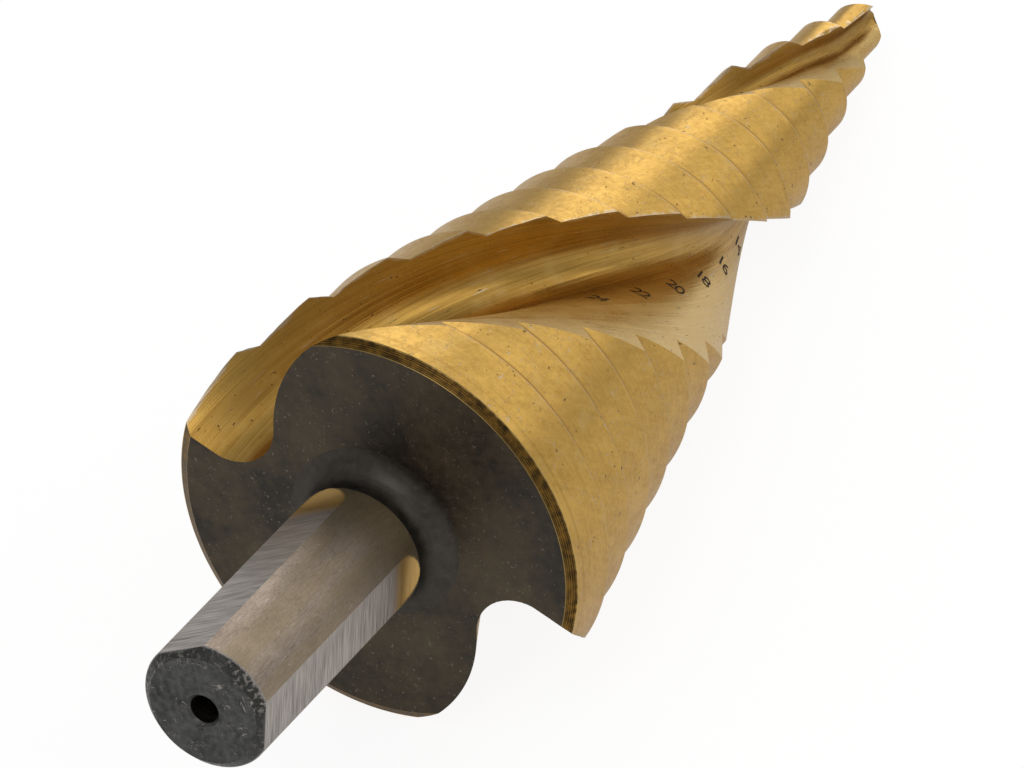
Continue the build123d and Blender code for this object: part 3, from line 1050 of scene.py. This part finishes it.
def hole_look(g):
    """Rings that the centre drill left in the hole."""
    place = g.attribute("tool", "Vector")
    rings = g.noise(place, (6.0, 0.3, 0.3), 2.0)
    color = g.mix(rings, END_DARK, SHANK_DARK)
    return color, (0.4 + (rings - 0.5) * 0.4).clamp(), rings * 0.03


print("the bruised rim is", SHANK_CHAMFER, "mm wide")

# %% [markdown]
# ### All materials
# The numbers were etched through the coat and have faded to brown in places, which gives the last look. The
# lip of the hole is finished as the end face is, and the neck as the root is, so those zones share a
# material.

# %% Materials from the looks
ETCHED = (0.030, 0.020, 0.014, 1)


def mark_look(g):
    """A dark etched line that has faded here and there."""
    place = g.attribute("tool", "Vector")
    faded = g.noise(place, (1.6, 1.6, 1.6), 3.0).ramp(0.45, 0.75)
    color = g.mix(faded * 0.5, ETCHED, BROWN_GOLD)
    return color, 0.55 + faded * 0.2, faded * 0.004


LOOKS = {
    "land": ("gold_land", land_look),
    "flute": ("gold_flute", flute_look),
    "chamfer": ("turned_chamfer", chamfer_look),
    "back": ("dark_back", back_look),
    "root": ("dark_root", root_look),
    "shank": ("shank_steel", shank_look),
    "flat": ("shank_flats", flat_look),
    "end": ("shank_end", end_look),
    "rim": ("rough_rim", rim_look),
    "hole": ("hole_steel", hole_look),
    "mark": ("etched_mark", mark_look),
}
materials = {zone: finished_metal(name, look) for zone, (name, look) in LOOKS.items()}
materials["lip"] = materials["end"]
materials["neck"] = materials["root"]
print("materials:", sorted(material.name for material in bpy.data.materials))

# %% [markdown]
# ## Making the body
# The group needs an object to work on, so it is put on an empty one. The modifier could stay live, but
# other programs can't read nodes. So its result becomes a plain mesh, which is laid down by the tool's
# matrix. A signed volume above zero shows that the faces look outwards.

# %% Fluted body
def from_rule(name, group, inputs):
    """The plain mesh that a geometry node group makes, laid down in the part's frame."""
    holder = bpy.data.objects.new(name + "_rule", bpy.data.meshes.new(name + "_rule"))
    scene.collection.objects.link(holder)
    modifier = holder.modifiers.new("rule", "NODES")
    modifier.node_group = group
    for item in group.interface.items_tree:
        if item.in_out == "INPUT" and item.name in inputs:
            modifier[item.identifier] = inputs[item.name]
    bpy.context.view_layer.update()
    evaluated = holder.evaluated_get(bpy.context.evaluated_depsgraph_get())
    mesh = bpy.data.meshes.new_from_object(evaluated)
    mesh.name = name
    bpy.data.objects.remove(holder)
    mesh.transform(tool_to_part)
    piece = bpy.data.objects.new(name, mesh)
    scene.collection.objects.link(piece)
    return piece


body = from_rule("fluted_body", body_group(materials), BODY_INPUTS)
shell = bmesh.new()
shell.from_mesh(body.data)
open_edges = [edge for edge in shell.edges if len(edge.link_faces) != 2]
print("the body has", len(shell.faces), "faces and", len(open_edges), "open edges")
print("the body holds", round(shell.calc_volume(signed=True) * 1e9), "mm3")
shell.free()

# %% [markdown]
# ## The shank
# The shank is what the chuck holds. It is turned together with the neck and the round root that joins the
# body, and a hole for a lathe's centre is drilled in its end. Blender's Screw modifier could spin the
# outline, but the flats have to be milled off afterwards, and a boolean would spoil the even rings. So the
# outline comes first, as points with the name of the zone that begins at each of them.

# %% Outline of the shank
SHANK_RADIUS = 5.0
SHANK_LENGTH = 22.06
PLAIN_LENGTH = 19.8
NECK_RADIUS = 4.75
NECK_END = 22.63
ROOT_RADIUS = 2.0
ROOT_POINTS = 16
HOLE_RADIUS = 1.1
HOLE_DEPTH = 4.5
HOLE_CONE = 0.66
HOLE_LIP = 0.2


def shank_outline():
    """Half of the shank's outline with the name of the zone that begins at each point."""
    corners = (
        ("hole", (HOLE_DEPTH + HOLE_CONE, 0.0), 3),
        ("hole", (HOLE_DEPTH, HOLE_RADIUS), 6),
        ("lip", (HOLE_LIP, HOLE_RADIUS), 2),
        ("end", (0, HOLE_RADIUS + HOLE_LIP), 10),
        ("rim", (0, SHANK_RADIUS - SHANK_CHAMFER), 5),
        ("shank", (SHANK_CHAMFER, SHANK_RADIUS), 24),
        ("shank", (PLAIN_LENGTH, SHANK_RADIUS), 26),
        ("neck", (SHANK_LENGTH, SHANK_RADIUS), 2),
        ("neck", (SHANK_LENGTH, NECK_RADIUS), 3),
        ("root", (NECK_END, NECK_RADIUS), 0),
    )
    outline = []
    for (zone, start, count), (_, end, _) in zip(corners, corners[1:]):
        for step in range(count):
            outline.append((tuple(a + (b - a) * step / count for a, b in zip(start, end)), zone))
    for step in range(ROOT_POINTS + 1):
        turn = math.radians(90 * step / ROOT_POINTS)
        radius = NECK_RADIUS + ROOT_RADIUS * (1 - math.cos(turn))
        outline.append(((NECK_END + ROOT_RADIUS * math.sin(turn), radius), "root"))
    return outline


print("the outline has", len(shank_outline()), "points")

# %% [markdown]
# Three flats give the three jaws of a chuck a hold. A round cutter milled them, so each ends in a curved
# run-out before the neck. Instead of cutting, a rule tells how far out the flats let the shank reach at any
# place and angle, and a point of the shank goes no further out than that.

# %% The milled flats
FLAT_DISTANCE = 4.55
FLAT_ANGLES = (82.5, 202.5, 322.5)
RUNOUT_RADIUS = 3.6


def flat_limit(along, angle):
    """How far out the flats let the shank reach at a place and an angle."""
    depth = SHANK_RADIUS - FLAT_DISTANCE
    start = SHANK_LENGTH - math.sqrt(2 * RUNOUT_RADIUS * depth - depth ** 2)
    into = min(max(along - start, 0.0), RUNOUT_RADIUS * 0.999)
    distance = FLAT_DISTANCE + RUNOUT_RADIUS - math.sqrt(RUNOUT_RADIUS ** 2 - into ** 2)
    off = (angle - FLAT_ANGLES[0] + 60) % 120 - 60
    return distance / math.cos(math.radians(off))


print("the flats are", round(SHANK_RADIUS - flat_limit(SHANK_CHAMFER, FLAT_ANGLES[0]), 2), "mm deep")

# %% [markdown]
# The rings of the mesh have points exactly where the flats begin and end, so that their long edges are
# straight. The far end is closed inside the body, where nobody sees it, so that the shank is a closed piece
# of its own.

# %% Rings of the shank
FLAT_POINTS = 32
ROUND_POINTS = 48
INSIDE_BODY = 0.4


def ring_angles():
    """The angles of a ring's points in degrees, with one at each edge of each flat."""
    half_flat = math.degrees(math.acos(FLAT_DISTANCE / SHANK_RADIUS))
    angles = []
    for middle in FLAT_ANGLES:
        angles += [middle - half_flat + 2 * half_flat * step / FLAT_POINTS for step in range(FLAT_POINTS)]
        rest = 120 - 2 * half_flat
        angles += [middle + half_flat + rest * step / ROUND_POINTS for step in range(ROUND_POINTS)]
    return angles


def shank_rings(outline, angles):
    """The points, the faces and the zone of each face of the turned and milled shank."""
    points = []
    faces = []
    zones = []
    count = len(angles)
    for (along, radius), zone in outline:
        for angle in angles:
            reach = radius
            if zone in ("end", "rim", "shank"):
                reach = min(radius, flat_limit(along, angle))
            turn = math.radians(angle)
            points.append((along, reach * math.cos(turn), reach * math.sin(turn)))
    for ring, ((along, _), zone) in enumerate(outline[:-1]):
        first = ring * count
        for column, angle in enumerate(angles):
            beside = (column + 1) % count
            faces.append((first + column, first + count + column, first + count + beside, first + beside))
            # a face belongs to a flat where the flat cuts below the round
            milled = zone == "shank" and flat_limit(along + 0.05, angle + 0.5) < SHANK_RADIUS - 0.001
            zones.append("flat" if milled else zone)
    # closed inside the body
    points.append((BACK_FACE + INSIDE_BODY, 0.0, 0.0))
    last = (len(outline) - 1) * count
    for column in range(count):
        faces.append((last + column, len(points) - 1, last + (column + 1) % count))
        zones.append("root")
    return points, faces, zones


print("each ring has", len(ring_angles()), "points")

# %% [markdown]
# The mesh is filled from these lists. Its points keep their places on the straight tool for the materials,
# before the tool's matrix lays it down. The hole's tip is a whole ring in one place, so doubles are merged
# before the faces are turned outwards.

# %% Shank
def shank_mesh():
    """The shank's mesh in the tool's coordinates, with its zones as materials."""
    points, faces, zones = shank_rings(shank_outline(), ring_angles())
    mesh = bpy.data.meshes.new("shank")
    mesh.from_pydata(points, [], faces)
    names = ["hole", "lip", "end", "rim", "shank", "flat", "neck", "root"]
    for name in names:
        mesh.materials.append(materials[name])
    for polygon, zone in zip(mesh.polygons, zones):
        polygon.material_index = names.index(zone)
        polygon.use_smooth = True
    return mesh


def keep_tool_places(mesh):
    """Stores the tool's coordinates on the points of a mesh, for its materials."""
    place = mesh.attributes.new("tool", "FLOAT_VECTOR", "POINT")
    for number, vertex in enumerate(mesh.vertices):
        place.data[number].vector = vertex.co


mesh = shank_mesh()
keep_tool_places(mesh)
mesh.transform(tool_to_part)
shank = bpy.data.objects.new("shank", mesh)
scene.collection.objects.link(shank)

shell = bmesh.new()
shell.from_mesh(mesh)
bmesh.ops.remove_doubles(shell, verts=shell.verts, dist=MERGE_DISTANCE * METRES_PER_MM)
bmesh.ops.recalc_face_normals(shell, faces=shell.faces)
for edge in shell.edges:
    if len(edge.link_faces) == 2 and edge.calc_face_angle() > CREASE:
        edge.smooth = False
shell.to_mesh(mesh)
shell.free()
print("the shank has", len(mesh.polygons), "faces")

# %% [markdown]
# ## The etched numbers
# Each step's diameter in millimetres is etched on the heel wall of the first flute. An image could be laid
# on the wall, but it would stretch in the spiral. Real text is sharp at any distance, so each number is a
# thin closed mesh that lies on the wall like a decal. First comes its place: numbers follow the spiral at a
# fixed angle from the edge.

# %% Places of the numbers
MARKED_DIAMETERS = (24, 22, 20, 18, 16, 14)
FIRST_MARK = 49.3
MARK_PITCH = 4.55
MARK_ANGLE = 36.0


def edge_degrees(along):
    """The turn of the cutting edge in degrees: the body's rule as a number."""
    from_start = along - BODY_START
    turn = BODY_INPUTS["Start Angle"] + BODY_INPUTS["Turn per mm"] * from_start
    return turn + BODY_INPUTS["Extra Turn"] * (from_start / (POINT_CORNER - BODY_START)) ** 3


print("the first number stands at", round(edge_degrees(FIRST_MARK) + MARK_ANGLE), "degrees")

# %% [markdown]
# Blender's own font gives plain strokes like those of an etching pen. The text becomes a mesh before it is
# moved, because a text object can't be bent over a wall.

# %% Letters
MARK_SIZE = 1.8
MARK_DEPTH = 0.03
MARK_SPACING = 0.8


def letters_mesh(text):
    """A flat text as a thin closed mesh about its own middle, in millimetres."""
    letters = bpy.data.curves.new("letters", "FONT")
    letters.body = text
    letters.size = MARK_SIZE
    letters.align_x = "CENTER"
    letters.align_y = "CENTER"
    letters.extrude = MARK_DEPTH / 2
    letters.space_character = MARK_SPACING
    holder = bpy.data.objects.new("letters", letters)
    scene.collection.objects.link(holder)
    bpy.context.view_layer.update()
    mesh = bpy.data.meshes.new_from_object(holder.evaluated_get(bpy.context.evaluated_depsgraph_get()))
    bpy.data.objects.remove(holder)
    return mesh


print("the letters are", MARK_DEPTH, "mm thick")

# %% [markdown]
# A number is laid on the wall in two steps. One ray from outside finds the wall behind the number's place
# and its normal. Then each point of the letters is cast along that normal onto the wall, and keeps its
# small height above it. A Shrinkwrap modifier does nearly the same, but it would press the letters flat.

# %% Etched numbers
REACH = 3.0


def laid_on_wall(mesh, wall, along):
    """Moves a number's points onto the wall of the first flute at a place along the tool."""
    turn = math.radians(edge_degrees(along) + MARK_ANGLE)
    outward = Vector((0, math.cos(turn), math.sin(turn)))
    middle, normal, _, _ = wall.ray_cast(Vector((along, 0, 0)) + outward * LAST_RADIUS, -outward)
    upward = (Vector((1, 0, 0)) - normal * normal.x).normalized()
    reading = upward.cross(normal)
    for vertex in mesh.vertices:
        flat = middle + reading * vertex.co.x + upward * vertex.co.y
        hit = wall.ray_cast(flat + normal * REACH, -normal)[0]
        vertex.co = (hit or flat) + normal * vertex.co.z


part_to_tool = tool_to_part.inverted()
corners = [part_to_tool @ vertex.co for vertex in body.data.vertices]
wall = BVHTree.FromPolygons(corners, [tuple(polygon.vertices) for polygon in body.data.polygons])
marks = bmesh.new()
for number, diameter in enumerate(MARKED_DIAMETERS):
    mesh = letters_mesh(str(diameter))
    laid_on_wall(mesh, wall, FIRST_MARK + MARK_PITCH * number)
    marks.from_mesh(mesh)
bmesh.ops.remove_doubles(marks, verts=marks.verts, dist=MERGE_DISTANCE)
bmesh.ops.recalc_face_normals(marks, faces=marks.faces)
mesh = bpy.data.meshes.new("etched_numbers")
marks.to_mesh(mesh)
marks.free()
keep_tool_places(mesh)
mesh.transform(tool_to_part)
mesh.materials.append(materials["mark"])
numbers = bpy.data.objects.new("etched_numbers", mesh)
scene.collection.objects.link(numbers)
print("etched numbers:", MARKED_DIAMETERS, "with", len(mesh.polygons), "faces")

# %% [markdown]
# ## The floor
# The photograph shows the tool cut out on white. A strong light could burn the floor out to white, but it
# would burn the gold too. So the floor is pale paper that only the camera sees mostly as plain white: the
# rest of the paper keeps a faint shadow under the tool. Part of the white shows in the tool's reflections
# as well.

# %% Floor
FLOOR_GREY = 0.85
FLOOR_REACH = 3
BACKDROP_SHARE = 0.82
MIRRORED_SHARE = 0.28
BACKDROP_GLOW = 1.1


def floor_paper():
    """Pale paper. The camera sees it mostly as the white backdrop, with the shadow left faint."""
    made = bpy.data.materials.new("floor_paper")
    made.use_nodes = True
    tree = made.node_tree
    g = Graph(tree)
    shader = tree.nodes["Principled BSDF"]
    shader.inputs["Base Color"].default_value = (FLOOR_GREY, FLOOR_GREY, FLOOR_GREY, 1)
    shader.inputs["Roughness"].default_value = 0.9
    shader.inputs["Specular IOR Level"].default_value = 0.1
    glow = g.node("ShaderNodeEmission", {"Color": (1, 1, 1, 1), "Strength": BACKDROP_GLOW})
    seen = g.node("ShaderNodeLightPath") * BACKDROP_SHARE
    seen = seen + g.node("ShaderNodeLightPath", output="Is Glossy Ray") * MIRRORED_SHARE
    both = g.node("ShaderNodeMixShader", [seen, Field(g, shader.outputs[0]), glow])
    tree.links.new(both.socket, tree.nodes["Material Output"].inputs["Surface"])
    return made


floor_mesh = bpy.data.meshes.new("floor")
floor_corners = [(x * FLOOR_REACH, y * FLOOR_REACH, 0) for x, y in ((-1, -1), (1, -1), (1, 1), (-1, 1))]
floor_mesh.from_pydata(floor_corners, [], [(0, 1, 2, 3)])
floor_mesh.materials.append(floor_paper())
floor = bpy.data.objects.new("floor", floor_mesh)
scene.collection.objects.link(floor)
print("the floor is", 2 * FLOOR_REACH, "m wide")

# %% [markdown]
# ## The world
# Metal shows what is around it, so the world counts as much as the lamps. A photograph of a studio could
# serve, but plain light is calmer: a soft grey-white lights the tool, and the camera sees pure white where
# the floor ends.

# %% World
SKY_STRENGTH = 0.42

world = bpy.data.worlds.new("studio")
world.use_nodes = True
scene.world = world
sky = world.node_tree
sky.nodes.clear()
g = Graph(sky)
soft = g.node("ShaderNodeBackground", {"Color": (1, 1, 1, 1), "Strength": SKY_STRENGTH})
white = g.node("ShaderNodeBackground", {"Color": (1, 1, 1, 1), "Strength": 1.0})
seen = g.node("ShaderNodeLightPath")
mixed = g.node("ShaderNodeMixShader", [seen, soft, white])
result = sky.nodes.new("ShaderNodeOutputWorld")
sky.links.new(mixed.socket, result.inputs["Surface"])
scene.view_settings.view_transform = "Standard"
print("the world's strength is", SKY_STRENGTH)

# %% [markdown]
# ## The lamps
# In the photograph the lands shine in long bands and the flute's floor stays dark, which suggests large soft
# boxes behind and to the right of the tool. Small lamps would give hard spots on metal. Four square area
# lamps stand about a metre away and point at the tool. Their powers were not guessed: a render with one lamp
# at a time shows what each adds to a few places on the tool, and the powers were fitted so that the sum comes
# near the brightness that those places have in the photograph. Then they were rounded.

# %% Lamps
LAMP_TARGET = (0, 0, 0.01)


def soft_box(name, place, size, power):
    """A square studio lamp that points at the tool."""
    lamp = bpy.data.lights.new(name, "AREA")
    lamp.shape = "RECTANGLE"
    lamp.size = size
    lamp.size_y = size
    lamp.energy = power
    holder = bpy.data.objects.new(name, lamp)
    holder.location = place
    holder.rotation_mode = "QUATERNION"
    holder.rotation_quaternion = (Vector(LAMP_TARGET) - Vector(place)).to_track_quat("-Z", "Y")
    scene.collection.objects.link(holder)


soft_box("back_light", (0.85, 0.23, 0.47), 0.55, 1.35)
soft_box("side_light", (0.76, -0.44, 0.47), 0.65, 0.95)
soft_box("front_light", (-0.48, -0.13, 0.87), 0.5, 1.2)
soft_box("right_light", (0.07, -0.82, 0.57), 0.5, 0.8)
print("lamps:", sorted(lamp.name for lamp in bpy.data.lights))

# The floor is only the stage and is left out of the part.

# %% Hand-over
for piece in (body, shank, numbers):
    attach(piece, "root")
    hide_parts("step_drill")
